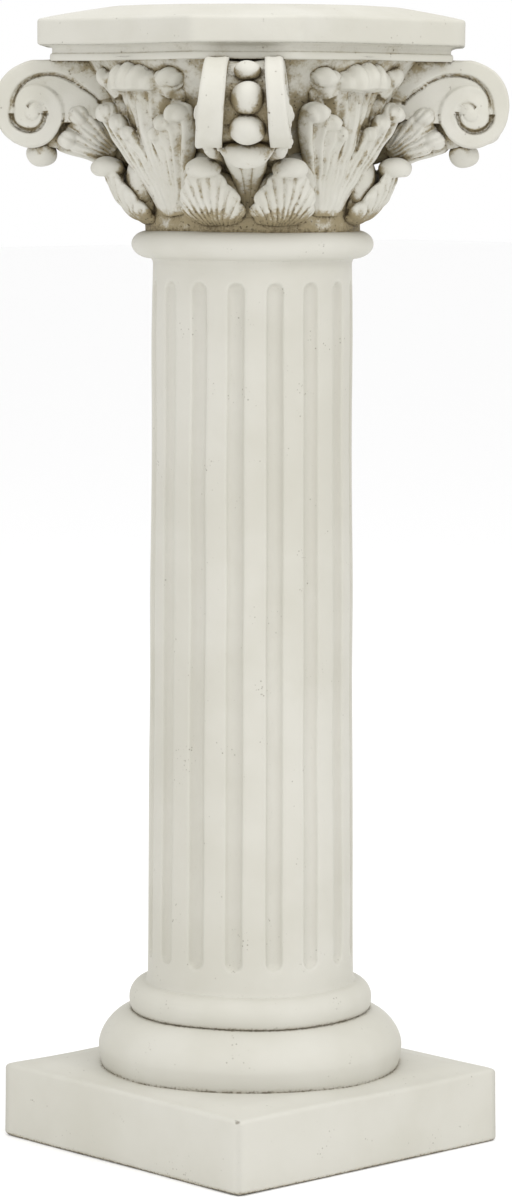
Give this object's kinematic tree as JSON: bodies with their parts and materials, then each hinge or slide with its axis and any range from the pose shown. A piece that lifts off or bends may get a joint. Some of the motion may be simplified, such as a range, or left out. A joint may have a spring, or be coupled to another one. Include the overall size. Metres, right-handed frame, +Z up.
{
  "type": "roman column pedestal",
  "caption": "Roman column pedestal with a square plinth, round moulded base, fluted shaft and leafed capital with corner volutes; carries a pot or bust on its top.",
  "frame": {"origin": "middle of the plinth's underside", "axes": "+Z up the shaft; the plinth's sides run along X and Y, and the volutes point along the diagonals"},
  "size_m": [0.2954, 0.2954, 0.8065],
  "materials": {
    "cast_stone": "matt cream cast stone with a brown wash in the hollows"
  },
  "bodies": {
    "root": {"pedestal": "cast_stone"}
  },
  "joints": []
}
